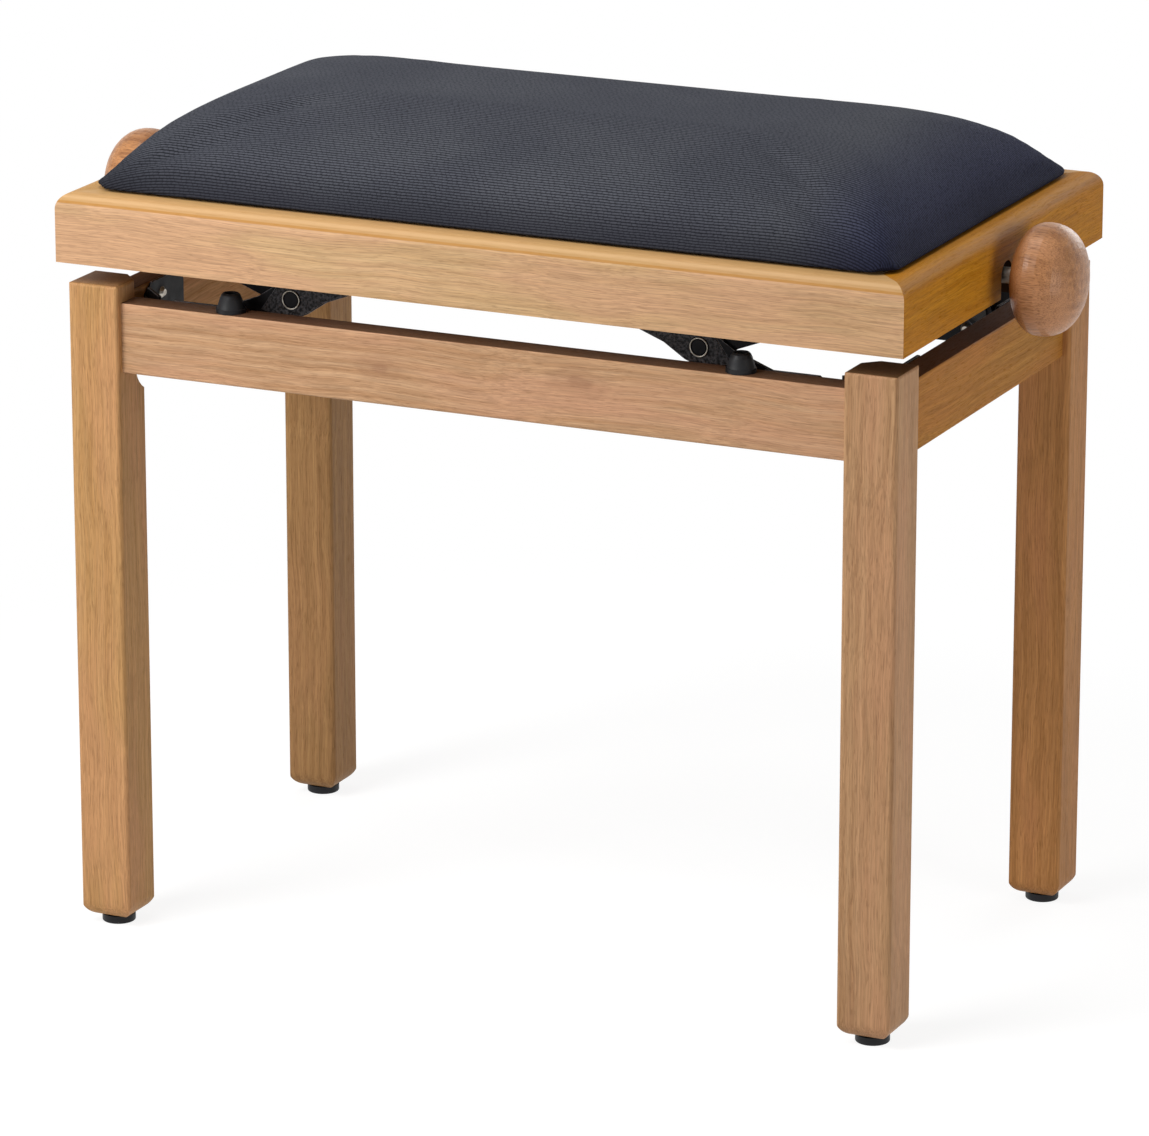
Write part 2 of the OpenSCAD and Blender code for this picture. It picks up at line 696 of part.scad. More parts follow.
rod_bearing(RIGHT);  // rod_bearing_right
seat_screws();
drive_screw();
knob(LEFT);  // knob_left
knob(RIGHT);  // knob_right
collar(LEFT);  // collar_left
collar(RIGHT);  // collar_right
nut_bar(LEFT);  // nut_bar_left
nut_bar(RIGHT);  // nut_bar_right
long_arm(LEFT, FRONT);  // long_arm_left_front
long_arm(LEFT, BACK);  // long_arm_left_back
long_arm(RIGHT, FRONT);  // long_arm_right_front
long_arm(RIGHT, BACK);  // long_arm_right_back
base_pivot(LEFT);  // base_pivot_left
base_pivot(RIGHT);  // base_pivot_right
mid_pivots(LEFT);  // mid_pivots_left
mid_pivots(RIGHT);  // mid_pivots_right
short_arm(LEFT, FRONT);  // short_arm_left_front
short_arm(LEFT, BACK);  // short_arm_left_back
short_arm(RIGHT, FRONT);  // short_arm_right_front
short_arm(RIGHT, BACK);  // short_arm_right_back
top_pins(LEFT);  // top_pins_left
top_pins(RIGHT);  // top_pins_right
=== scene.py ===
# %% [markdown]
# # A piano bench with a screw-driven seat lift
# The bench is a wooden underframe on four square legs, a mitred seat frame above it,
# a padded seat, and a steel scissor lift between the two that a pair of turned wooden
# knobs works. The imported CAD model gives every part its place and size. This file only
# adds what the eye needs: wood, cloth, steel and rubber, a seat that is really stuffed,
# eased edges on the steel, a cut thread on the spindle, and the light.

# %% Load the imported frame
import json
import math

import bmesh
import bpy
import numpy as np
from mathutils import Matrix, Vector
from mathutils.bvhtree import BVHTree

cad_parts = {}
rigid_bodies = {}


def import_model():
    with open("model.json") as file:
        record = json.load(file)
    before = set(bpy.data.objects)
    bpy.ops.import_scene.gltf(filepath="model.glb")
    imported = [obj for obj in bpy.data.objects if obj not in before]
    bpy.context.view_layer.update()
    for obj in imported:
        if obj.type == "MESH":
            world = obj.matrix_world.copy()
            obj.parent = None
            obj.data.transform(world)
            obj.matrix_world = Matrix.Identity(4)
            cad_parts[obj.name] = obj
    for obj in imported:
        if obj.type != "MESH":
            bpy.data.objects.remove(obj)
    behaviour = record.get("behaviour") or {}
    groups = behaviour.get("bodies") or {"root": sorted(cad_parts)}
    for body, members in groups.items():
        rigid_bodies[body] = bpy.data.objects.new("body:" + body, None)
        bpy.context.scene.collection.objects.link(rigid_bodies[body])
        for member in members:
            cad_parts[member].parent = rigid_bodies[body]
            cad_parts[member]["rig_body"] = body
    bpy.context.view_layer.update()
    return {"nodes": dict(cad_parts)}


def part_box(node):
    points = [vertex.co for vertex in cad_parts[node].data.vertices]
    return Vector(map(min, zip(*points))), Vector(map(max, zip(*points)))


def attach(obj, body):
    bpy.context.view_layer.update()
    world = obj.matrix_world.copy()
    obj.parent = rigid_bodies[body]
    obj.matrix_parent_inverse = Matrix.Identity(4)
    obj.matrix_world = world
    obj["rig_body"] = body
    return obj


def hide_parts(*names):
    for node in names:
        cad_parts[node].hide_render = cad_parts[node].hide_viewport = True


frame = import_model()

MM = 0.001
scene = bpy.context.scene

# %% [markdown]
# ## The camera
# A long lens from a little above and to the right, as furniture is usually shown. A long
# lens keeps the legs almost parallel, and with no shift the same camera works from any
# side when the view is turned.

# %% Camera
camera = bpy.data.objects.new("camera", bpy.data.cameras.new("camera"))
camera.data.lens = 202.1
camera.data.sensor_width = 36
camera.data.clip_end = 30
camera.location = (1.6123, -3.4866, 1.3635)
camera.rotation_euler = (math.radians(90 - 16.526), 0, math.radians(24.895))
scene.collection.objects.link(camera)
scene.camera = camera
scene.view_settings.view_transform = "Standard"
print("lens", camera.data.lens, "mm at", tuple(camera.location))

# %% [markdown]
# ## Small helpers for shader nodes
# Every finish below is a node tree. Three helpers keep those trees short: one adds a node
# and fills its sockets, and two start and finish a node group with named inputs and
# outputs. A value that is a socket is linked, and any other value is written on the
# socket itself.

# %% Node helpers
def add(tree, kind, values=(), **settings):
    made = tree.nodes.new("ShaderNode" + kind)
    for name, value in settings.items():
        setattr(made, name, value)
    for socket, value in dict(values).items():
        if isinstance(value, bpy.types.NodeSocket):
            tree.links.new(value, made.inputs[socket])
        else:
            made.inputs[socket].default_value = value
    return made


def start_group(name, takes, gives):
    group = bpy.data.node_groups.new(name, "ShaderNodeTree")
    for label, kind, value in takes:
        socket = group.interface.new_socket(label, in_out="INPUT", socket_type="NodeSocket" + kind)
        socket.default_value = value
    for label, kind in gives:
        group.interface.new_socket(label, in_out="OUTPUT", socket_type="NodeSocket" + kind)
    entry, way_out = group.nodes.new("NodeGroupInput"), group.nodes.new("NodeGroupOutput")
    return group, entry.outputs, way_out


def finish_group(group, way_out, results):
    for label, socket in results.items():
        group.links.new(socket, way_out.inputs[label])
    print("node group", group.name, "with", len(group.nodes), "nodes")
    return group


print("node helpers ready")

# %% [markdown]
# A few more that nearly every material uses: a colour given as on a screen and turned
# into light, a new material, sums on numbers and vectors, a soft threshold and a mix.

# %% Colour and sum helpers
def srgb(red, green, blue):
    parts = [c / 255 for c in (red, green, blue)]
    line = [c / 12.92 if c <= 0.04045 else ((c + 0.055) / 1.055) ** 2.4 for c in parts]
    return (*line, 1.0)


def start_material(name):
    material = bpy.data.materials.new(name)
    material.use_nodes = True
    tree = material.node_tree
    return material, tree, tree.nodes["Principled BSDF"]


def feed(tree, shader, values):
    for socket, value in values.items():
        if isinstance(value, bpy.types.NodeSocket):
            tree.links.new(value, shader.inputs[socket])
        else:
            shader.inputs[socket].default_value = value


def maths(tree, operation, *values, clamp=False):
    made = add(tree, "Math", dict(enumerate(values)), operation=operation, use_clamp=clamp)
    return made.outputs[0]


def vectors(tree, operation, *values):
    made = add(tree, "VectorMath", dict(enumerate(values)), operation=operation)
    return made.outputs[0]


def spread(tree, value, low, high, out_low=0.0, out_high=1.0):
    """Stretches value so that low..high becomes out_low..out_high, with soft ends."""
    made = add(tree, "MapRange", {0: value, 1: low, 2: high, 3: out_low, 4: out_high},
               interpolation_type="SMOOTHSTEP")
    return made.outputs[0]


def blended(tree, how_much, first, second, blend_type="MIX"):
    made = add(tree, "Mix", {0: how_much, 6: first, 7: second},
               data_type="RGBA", blend_type=blend_type)
    return made.outputs[2]


print("mid grey on a screen is", round(srgb(128, 128, 128)[0], 3), "as light")

# %% [markdown]
# ## Floor and light
# The bench stands on a plain white sweep that runs into a white surround. The floor has
# two parts added together: a plain glow that only the camera and reflections see, and a
# weak matt surface that darkens under the feet. Further out it fades to plain white, and
# from underneath it is clear, so that the lift can be looked at from below. The bench
# itself is lit by the lamps, a soft grey sky and what a pale matt floor throws back, and
# not by the glow, so its colours stay as they are written.

# %% Floor and sky
def sees_white(tree):
    path = add(tree, "LightPath").outputs
    seen = maths(tree, "MAXIMUM", path["Is Camera Ray"], path["Is Glossy Ray"])
    return maths(tree, "MAXIMUM", seen, path["Is Transmission Ray"])


def make_floor(size=3.2, glow=0.855, matt=0.22, fade_from=0.42, fade_to=0.80):
    form = bmesh.new()
    bmesh.ops.create_grid(form, x_segments=2, y_segments=2, size=size / 2)
    mesh = bpy.data.meshes.new("floor")
    form.to_mesh(mesh)
    form.free()
    floor = bpy.data.objects.new("floor", mesh)
    scene.collection.objects.link(floor)
    material = bpy.data.materials.new("floor")
    material.use_nodes = True
    tree = material.node_tree
    tree.nodes.clear()
    where = add(tree, "TexCoord").outputs["Object"]
    away = add(tree, "VectorMath", {0: where}, operation="LENGTH").outputs["Value"]
    white = add(tree, "Emission", {"Color": (1, 1, 1, 1), "Strength": glow})
    shade = add(tree, "BsdfDiffuse", {"Color": (matt, matt, matt, 1)})
    near = add(tree, "AddShader", {0: white.outputs[0], 1: shade.outputs[0]})
    far = add(tree, "Emission", {"Color": (1, 1, 1, 1), "Strength": 1.0})
    fade = spread(tree, away, fade_from, fade_to)
    seen = add(tree, "MixShader", {0: fade, 1: near.outputs[0], 2: far.outputs[0]})
    plain = add(tree, "BsdfDiffuse", {"Color": (0.75, 0.74, 0.72, 1)})
    both = add(tree, "MixShader", {0: sees_white(tree), 1: plain.outputs[0], 2: seen.outputs[0]})
    clear = add(tree, "BsdfTransparent", {"Color": (1, 1, 1, 1)})
    under = add(tree, "NewGeometry").outputs["Backfacing"]
    sided = add(tree, "MixShader", {0: under, 1: both.outputs[0], 2: clear.outputs[0]})
    add(tree, "OutputMaterial", {"Surface": sided.outputs[0]})
    mesh.materials.append(material)


def make_sky(level):
    world = bpy.data.worlds.new("soft_sky")
    scene.world = world
    world.use_nodes = True
    tree = world.node_tree
    tree.nodes.clear()
    strength = add(tree, "Mix", {0: sees_white(tree), 2: level, 3: 1.0}, data_type="FLOAT")
    sky = add(tree, "Background", {"Color": (1, 1, 1, 1), "Strength": strength.outputs[0]})
    add(tree, "OutputWorld", {"Surface": sky.outputs[0]})


make_floor()
make_sky(level=0.14)
print("floor and sky made")

# %% [markdown]
# Five soft boxes: two on the left in front, one high and one low, whose light falls off
# towards the right, a small one near the right-hand knob, one overhead for the seat and
# one behind, so that the back is not black. Each looks at the middle of the bench. A
# lamp's level is given as how bright white paper facing it would look, and the watts
# follow from the square of the distance.

# %% Lamps
AIM = Vector((0.0, 0.0, 0.30))


def soft_box(name, place, width, height, level):
    lamp = bpy.data.lights.new(name, "AREA")
    lamp.shape = "RECTANGLE"
    lamp.size, lamp.size_y = width, height
    away = Vector(place) - AIM
    lamp.energy = level * math.pi ** 2 * away.length_squared
    box = bpy.data.objects.new(name, lamp)
    box.location = place
    box.rotation_euler = away.to_track_quat("Z", "Y").to_euler()
    scene.collection.objects.link(box)
    print(f"{name}: {lamp.energy:.0f} W at {away.length:.2f} m")


soft_box("key_light", (-0.60, -1.20, 1.60), 0.9, 0.7, 0.62)
soft_box("front_light", (-1.05, -1.35, 0.95), 0.9, 0.9, 0.31)
soft_box("end_light", (1.20, -0.25, 0.42), 0.5, 0.6, 0.23)
soft_box("top_light", (-0.30, -0.05, 2.30), 1.0, 0.8, 0.31)
soft_box("back_light", (0.50, 2.10, 0.90), 1.2, 0.9, 0.28)

# %% [markdown]
# ## Wood
# The frame is a pale tropical hardwood under satin lacquer. Close to, it has short dark
# pores that run with the grain, long soft streaks, a faint figure from the growth rings
# and slow changes between golden and pink. All of that is one group that is given a
# position whose X axis runs along the grain, so the same group serves legs and rails.
# Because it reads solid coordinates, the figure carries round each edge as in sawn wood.

# %% Wood grain group
def build_wood_grain():
    group, inside, way_out = start_group(
        "wood_grain",
        [("Position", "Vector", (0, 0, 0)), ("Light", "Color", srgb(214, 174, 131)),
         ("Dark", "Color", srgb(178, 132, 90)), ("Blush", "Color", srgb(206, 152, 120)),
         ("Pore strength", "Float", 0.55), ("Figure", "Float", 0.5)],
        [("Color", "Color"), ("Height", "Float"), ("Polish", "Float")])
    tree = group
    position = inside["Position"]
    slow = add(tree, "TexNoise", {"Vector": position, "Scale": 8.0, "Detail": 2.0})
    sway = vectors(tree, "SUBTRACT", slow.outputs["Color"], (0.5, 0.5, 0.5))
    sway = vectors(tree, "MULTIPLY", sway, (0.0, 0.012, 0.012))
    bent = vectors(tree, "ADD", position, sway)

    def along_grain(length, width, detail, roughness=0.5):
        """Noise whose patches have about this length and width, in metres."""
        scaled = vectors(tree, "MULTIPLY", bent, (1 / length, 1 / width, 1 / width))
        return add(tree, "TexNoise", {"Vector": scaled, "Scale": 1.0, "Detail": detail,
                                      "Roughness": roughness}).outputs["Fac"]

    # long soft streaks, and growth rings round a heart that lies beside the board
    streak = along_grain(0.22, 0.0032, 4.0, 0.58)
    heart = vectors(tree, "ADD", bent, (0.0, 0.046, 0.061))
    rings = add(tree, "TexWave", {"Vector": heart, "Scale": 46.0, "Distortion": 2.2,
                                  "Detail": 2.0, "Detail Scale": 1.4},
                wave_type="RINGS", rings_direction="X").outputs["Fac"]
    ring_part = maths(tree, "MULTIPLY", maths(tree, "SUBTRACT", rings, 0.5), inside["Figure"])
    band = maths(tree, "ADD", spread(tree, streak, 0.12, 0.88), ring_part, clamp=True)
    color = blended(tree, band, inside["Dark"], inside["Light"])

    # golden and pink areas, a few centimetres across
    patch = along_grain(0.16, 0.030, 3.0)
    color = blended(tree, spread(tree, patch, 0.42, 0.68, 0.0, 0.75), color, inside["Blush"])

    # fine fibre lines, then pores: short dark dashes that crowd in some streaks
    fibre = along_grain(0.045, 0.00080, 3.0, 0.65)
    brushed = spread(tree, fibre, 0.24, 0.76, 0.78, 1.16)
    grey = add(tree, "CombineColor", {0: brushed, 1: brushed, 2: brushed}).outputs[0]
    color = blended(tree, 1.0, color, grey, "MULTIPLY")
    dash = along_grain(0.0070, 0.00050, 0.0)
    crowd = spread(tree, streak, 0.25, 0.75, 0.03, -0.03)
    pore = spread(tree, maths(tree, "ADD", dash, crowd), 0.58, 0.74)
    weight = maths(tree, "MULTIPLY", pore, inside["Pore strength"])
    deep = blended(tree, 1.0, color, (0.52, 0.47, 0.42, 1), "MULTIPLY")
    color = blended(tree, weight, color, deep)

    height = maths(tree, "SUBTRACT", maths(tree, "MULTIPLY", fibre, 0.35), pore)
    polish = maths(tree, "ADD", maths(tree, "MULTIPLY", streak, 0.12),
                   maths(tree, "MULTIPLY", pore, 0.20))
    return finish_group(group, way_out, {"Color": color, "Height": height, "Polish": polish})


wood_grain = build_wood_grain()

# %% [markdown]
# Each board gets its own material from that group. The grain turns with a Mapping node,
# its place in the log is a different offset for each board, and the tones differ a little,
# as boards do. Lacquer is a thin coat over a fairly rough base.

# %% Wood materials
GRAIN_TURN = {"X": (0, 0, 0), "Y": (0, 0, -math.pi / 2), "Z": (0, math.pi / 2, 0)}


def wood(name, grain, offset, light, dark, blush, pores=0.28, figure=0.25, rough=0.42, coat=0.02,
         specular=0.10):
    material, tree, shader = start_material(name)
    where = add(tree, "TexCoord").outputs["Object"]
    turned = add(tree, "Mapping", {"Vector": where, "Location": offset,
                                   "Rotation": GRAIN_TURN[grain]}).outputs[0]
    grown = add(tree, "Group", node_tree=wood_grain)
    feed(tree, grown, {"Position": turned, "Light": light, "Dark": dark, "Blush": blush,
                       "Pore strength": pores, "Figure": figure})
    bump = add(tree, "Bump", {"Height": grown.outputs["Height"], "Strength": 0.35,
                              "Distance": 0.0003})
    feed(tree, shader, {"Base Color": grown.outputs["Color"],
                        "Roughness": maths(tree, "ADD", grown.outputs["Polish"], rough),
                        "Normal": bump.outputs[0], "Specular IOR Level": specular,
                        "Coat Weight": coat, "Coat Roughness": 0.30})
    return material, tree, shader, where


print("grain can run along", ", ".join(GRAIN_TURN))

# %% [markdown]
# Stain, end grain, knots, painted shade and painted highlights, such as the dark inside of a
# slot, are colours laid over the board where a mask is 1. Each mask is worked out from the
# place on the board, so it stays with the board whichever way the bench is seen or exported.

# %% Colours laid over a board
def tint_base(tree, shader, mask, color):
    """Lays color over the board's own colour where mask is 1."""
    under = shader.inputs["Base Color"].links[0].from_socket
    tree.links.new(blended(tree, mask, under, color), shader.inputs["Base Color"])


def height_band(tree, where, low, high, soft):
    up = add(tree, "SeparateXYZ", {0: where}).outputs["Z"]
    rising = spread(tree, up, low - soft, low + soft)
    falling = spread(tree, up, high - soft, high + soft, 1.0, 0.0)
    return maths(tree, "MULTIPLY", rising, falling)


def knot_mask(tree, where, x, z, wide, high):
    """Faint rings round a small oval at x, z on a board whose grain runs along X."""
    bend = add(tree, "TexNoise", {"Vector": where, "Scale": 70.0, "Detail": 2.0}).outputs["Color"]
    bend = vectors(tree, "MULTIPLY", vectors(tree, "SUBTRACT", bend, (0.5, 0.5, 0.5)),
                   (14 * MM, 0, 7 * MM))
    away = vectors(tree, "SUBTRACT", vectors(tree, "ADD", where, bend), (x, 0, z))
    oval = vectors(tree, "MULTIPLY", away, (1 / wide, 0, 1 / high))
    distance = add(tree, "VectorMath", {0: oval}, operation="LENGTH").outputs["Value"]
    ring = spread(tree, maths(tree, "SINE", maths(tree, "MULTIPLY", distance, 9.0)), -1, 1, 0.5, 1)
    return maths(tree, "MULTIPLY", ring, spread(tree, distance, 0.15, 1.25, 1.0, 0.0))


def slot_mask(tree, where, half_width, top, outer):
    """1 inside the slot of an end rail: narrower than it, below its top, behind its mouth."""
    parts = add(tree, "SeparateXYZ", {0: where}).outputs
    mask = maths(tree, "LESS_THAN", parts["Z"], top)
    for value, limit in ((parts["Y"], half_width), (parts["X"], outer)):
        size = maths(tree, "ABSOLUTE", value)
        mask = maths(tree, "MULTIPLY", mask, maths(tree, "LESS_THAN", size, limit))
    return mask


def dress(node, material):
    slots = frame["nodes"][node].data.materials
    for index in range(len(slots)):
        slots[index] = material


print("masks ready: height band, knot, slot")

# %% [markdown]
# The legs' grain runs upright. No two legs are cut from one place, so each has its own
# three tones and its own place in the log, and the tones are also painted darker for the
# legs that get less light, most the back-left one, as painted shade. The sawn top of each
# is darker: end grain drinks more stain, and painted shade from the seat frame above is
# laid over it.

# %% Legs
# each leg's tones, painted darker as shade for the legs that get less light
LEG_TONES = {
    "leg_front_left": ((199, 155, 104), (173, 128, 78), (196, 145, 102)),
    "leg_front_right": ((196, 155, 115), (161, 120, 84), (190, 143, 107)),
    "leg_back_left": ((174, 134, 88), (140, 102, 64), (168, 124, 84)),
    "leg_back_right": ((194, 139, 86), (159, 109, 62), (187, 129, 84)),
}
# how dark each leg's top is painted: end grain that has taken the stain, and painted shade from the
# seat frame above
TOP_STAIN_AND_SHADE = {"leg_front_left": 0.45, "leg_front_right": 0.95, "leg_back_left": 0.75,
             "leg_back_right": 0.75}
leg_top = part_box("leg_front_left")[1].z
for number, (leg, tones) in enumerate(LEG_TONES.items()):
    material, tree, shader, where = wood(
        leg + "_wood", "Z", (0.31 * number, 0.043 * number, 0.019 + 0.021 * number),
        *[srgb(*tone) for tone in tones], pores=0.35, figure=0.15)
    # painted shade under the seat frame, together with the stain in the end grain
    end_grain_and_shade = height_band(tree, where, leg_top - 0.3 * MM, leg_top + 5 * MM, 0.2 * MM)
    end_grain_and_shade = maths(tree, "MULTIPLY", end_grain_and_shade, TOP_STAIN_AND_SHADE[leg])
    tint_base(tree, shader, end_grain_and_shade, srgb(84, 60, 38))
    dress(leg, material)
print("legs dressed in", len(LEG_TONES), "woods")

# %% [markdown]
# The rails of the seat frame have a rounded top edge laid over with colour bands that follow
# the height: a golden band, a painted highlight, and a thin dark line where that highlight
# ends. The right-hand rails are painted darker and oranger, as shade on that side. The
# underframe's rails are dark on top, partly darker wood and partly painted shade from the
# seat above, and the front one shows two faint knots. The slots in the end rails, which let
# the spindle out, are painted dark inside as shade.

# %% Rail materials
# tones of each rail; those of the right-hand rails are painted darker and oranger, as shade on that
# side
RAIL_TONES = {
    "base_rail_front": ("X", (200, 161, 125), (175, 132, 95), (200, 152, 120)),
    "base_rail_back": ("X", (198, 156, 116), (168, 124, 84), (196, 146, 110)),
    "base_rail_left": ("Y", (190, 146, 100), (158, 112, 68), (186, 134, 92)),
    "base_rail_right": ("Y", (186, 132, 62), (146, 96, 34), (176, 116, 56)),
    "seat_rail_front": ("X", (208, 173, 130), (184, 146, 104), (205, 160, 125)),
    "seat_rail_back": ("X", (208, 166, 122), (182, 138, 94), (204, 154, 116)),
    "seat_rail_left": ("Y", (198, 152, 98), (168, 118, 64), (190, 136, 86)),
    "seat_rail_right": ("Y", (197, 135, 36), (160, 99, 10), (188, 122, 30)),
}
SLOT_HALF_WIDTH = 9 * MM
SKIN = 0.2 * MM
spindle_z = sum(corner.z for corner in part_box("drive_screw")) / 2
seat_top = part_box("seat_rail_front")[1].z
shelf_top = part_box("base_rail_front")[1].z
# Colour along the rounded top edge: depth below the top, height above it, softness, weight
# and colour of each band. The first is a golden band, the second a pale painted highlight,
# and the last the thin dark line painted where that highlight ends, where the rounding
# begins. The right-hand rail's bands are painted shade, darker and oranger, so they are its own.
EDGE_BANDS = [(4.8, 5.0, 0.4, 0.70, (184, 142, 84)), (3.0, -1.4, 0.6, 0.30, (232, 194, 150)),
              (5.9, -4.4, 0.3, 0.85, (176, 124, 54))]
# the right-hand rail's bands are painted shade, darker and oranger
RIGHT_BANDS = [(4.8, 5.0, 1.2, 0.45, (150, 100, 26)), (7.5, -5.0, 1.0, 0.30, (158, 96, 8))]
# Faint knots in the front rail of the underframe: place along it, depth, width and height.
KNOTS = [(-63, 21, 17, 9), (68, 16, 21, 10)]
SHELF_STAIN_AND_SHADE, KNOT_STAIN = 0.85, 0.55
for number, (rail, (grain, *tones)) in enumerate(RAIL_TONES.items()):
    offset = (0.27 * number + 0.11, 0.037 * number, 0.028 * number)
    material, tree, shader, where = wood(
        rail + "_wood", grain, offset, *[srgb(*tone) for tone in tones],
        specular=0.04 if grain == "Y" else 0.10)
    if rail.startswith("base"):
        # the top of each underframe rail is darkened: partly darker wood, partly painted shade
        # under the seat
        shelf = height_band(tree, where, shelf_top - 0.25 * MM, shelf_top + 5 * MM, 0.15 * MM)
        tint_base(tree, shader, maths(tree, "MULTIPLY", shelf, SHELF_STAIN_AND_SHADE), srgb(66, 40, 27))
        for x, down, wide, high in KNOTS if rail.endswith("front") else ():
            knot = knot_mask(tree, where, x * MM, shelf_top - down * MM, wide * MM, high * MM)
            knot = maths(tree, "MULTIPLY", knot, KNOT_STAIN)
            tint_base(tree, shader, knot, srgb(150, 108, 82))
    else:
        # bands along the top edge: a golden band, a painted highlight and painted shade
        for low, high, soft, weight, shade in RIGHT_BANDS if rail.endswith("right") else EDGE_BANDS:
            band = height_band(tree, where, seat_top - low * MM, seat_top + high * MM, soft * MM)
            tint_base(tree, shader, maths(tree, "MULTIPLY", band, weight), srgb(*shade))
    # painted shade inside the slot of each end rail
    if rail in ("seat_rail_left", "seat_rail_right"):
        outer = max(abs(corner.x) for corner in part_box(rail)) - 0.3 * MM
        half_width = SLOT_HALF_WIDTH + SKIN
        slot = slot_mask(tree, where, half_width, spindle_z + half_width, outer)
        tint_base(tree, shader, slot, srgb(46, 28, 14))
    dress(rail, material)
print("rails dressed in", len(RAIL_TONES), "woods")

# %% [markdown]
# The knobs are turned from a redder wood, polished a little more by hands. The board
# under the seat is plywood: its faces show plain veneer and its edges the stacked plies.

# %% Knob wood and plywood
for number, knob in enumerate(("knob_left", "knob_right")):
    material, tree, shader, where = wood(
        knob + "_wood", "X", (0.05 + 0.4 * number, 0.009, 0.013), srgb(196, 140, 92),
        srgb(138, 88, 50), srgb(190, 136, 96), pores=0.75, figure=0.2, rough=0.26, coat=0.08,
        specular=0.18)
    across = add(tree, "SeparateXYZ", {0: where}).outputs["X"]
    # painted shade on the inner side, which faces the rail
    neck = min(abs(corner.x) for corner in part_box(knob))
    inner = spread(tree, maths(tree, "ABSOLUTE", across), neck + 4 * MM, neck + 17 * MM,
                   0.85, 0.0)
    tint_base(tree, shader, inner, srgb(122, 72, 30))
    dress(knob, material)

material, tree, shader, where = wood(
    "seat_plywood", "X", (0.7, 0.1, 0.2), srgb(206, 176, 132), srgb(176, 142, 98),
    srgb(200, 160, 118), pores=0.3, figure=0.6, rough=0.55, coat=0.0)
level = add(tree, "SeparateXYZ", {0: where}).outputs["Z"]
PLY = 1.7 * MM
ply_wave = maths(tree, "SINE", maths(tree, "MULTIPLY", level, math.pi / PLY))
board_low, board_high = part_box("seat_board")
inside_faces = height_band(tree, where, board_low.z + 0.3 * MM, board_high.z - 0.3 * MM,
                           0.2 * MM)
plies = maths(tree, "MULTIPLY", spread(tree, ply_wave, -0.2, 0.2), inside_faces)
tint_base(tree, shader, maths(tree, "MULTIPLY", plies, 0.5), srgb(132, 92, 58))
dress("seat_board", material)
print("knobs and seat board dressed")

# %% [markdown]
# ## Steel and rubber
# Two metals: stampings in satin black paint, and zinc-plated screws, pins and spindle,
# with only the lowest pins painted dark, as painted shade under the seat. One group makes
# the small unevenness that all have, at the scale of handling marks, and each material uses
# it for its own colour and gloss. The rubber of the bumpers and the feet is matt black with a
# little pale dust.

# %% Handled surface group
def build_handled_surface():
    group, inside, way_out = start_group(
        "handled_surface",
        [("Position", "Vector", (0, 0, 0)), ("Clean", "Color", (0.5, 0.5, 0.5, 1)),
         ("Worn", "Color", (0.3, 0.3, 0.3, 1)), ("Size", "Float", 90.0)],
        [("Color", "Color"), ("Height", "Float"), ("Mask", "Float")])
    cloudy = add(group, "TexNoise", {"Vector": inside["Position"], "Scale": inside["Size"],
                                     "Detail": 4.0, "Roughness": 0.6}).outputs["Fac"]
    fine = add(group, "TexNoise", {"Vector": inside["Position"], "Scale": 1600.0,
                                   "Detail": 2.0}).outputs["Fac"]
    mask = spread(group, cloudy, 0.38, 0.66)
    color = blended(group, mask, inside["Clean"], inside["Worn"])
    return finish_group(group, way_out, {"Color": color, "Height": fine, "Mask": mask})


handled_surface = build_handled_surface()

# %% [markdown]
# Paint, plating and rubber differ in their two colours, in the size of their marks, in
# how dull they are and how much that changes, and in how deep the fine bump is. Whatever
# stays the same all over, such as how metallic a finish is, is set on the shader itself.

# %% Metal and rubber materials
def handled(name, clean, worn, size, rough, change, bump_height, **constants):
    material, tree, shader = start_material(name)
    where = add(tree, "TexCoord").outputs["Object"]
    skin = add(tree, "Group", node_tree=handled_surface)
    feed(tree, skin, {"Position": where, "Clean": clean, "Worn": worn, "Size": size})
    bump = add(tree, "Bump", {"Height": skin.outputs["Height"], "Strength": 0.3,
                              "Distance": bump_height})
    gloss = maths(tree, "ADD", maths(tree, "MULTIPLY", skin.outputs["Mask"], change), rough)
    feed(tree, shader, {"Base Color": skin.outputs["Color"], "Roughness": gloss,
                        "Normal": bump.outputs[0]})
    feed(tree, shader, constants)
    return material


black_steel = handled("black_steel_paint", srgb(17, 17, 20), srgb(29, 29, 32), 140.0,
                      0.40, 0.16, 0.00010, **{"Specular IOR Level": 0.12})
pale_face_steel = handled("pale_face_steel", srgb(20, 20, 22), srgb(92, 92, 96), 520.0,
                       0.40, 0.20, 0.00025, **{"Specular IOR Level": 0.15})
# a paler steel for the bevels: a painted highlight along every edge
painted_glint_edge = handled("painted_glint_steel_edge", srgb(60, 60, 64), srgb(128, 128, 132), 260.0,
                    0.36, 0.20, 0.00005, **{"Metallic": 0.6})
zinc_steel = handled("zinc_plate", srgb(186, 180, 170), srgb(154, 148, 138), 160.0,
                     0.30, 0.20, 0.00005, **{"Metallic": 1.0})
black_rubber = handled("black_rubber", srgb(15, 15, 17), srgb(25, 25, 28), 140.0,
                       0.42, 0.18, 0.00008, **{"Specular IOR Level": 0.25})
STEEL_LIKE = {"black_steel": black_steel, "zinc_steel": zinc_steel, "black_rubber": black_rubber}
for node, thing in frame["nodes"].items():
    for index, given in enumerate(thing.data.materials):
        slot_name = given.name.split(".")[0] if given else ""
        if slot_name in STEEL_LIKE:
            thing.data.materials[index] = STEEL_LIKE[slot_name]
# the lowest pins are painted dark, as painted shade under the seat
dark_pin = handled("shaded_low_pin", srgb(46, 43, 40), srgb(30, 28, 27), 160.0,
                   0.38, 0.16, 0.00005, **{"Metallic": 0.5})
for side in ("left", "right"):
    dress("base_pivot_" + side, dark_pin)
print("steel, zinc and rubber ready")

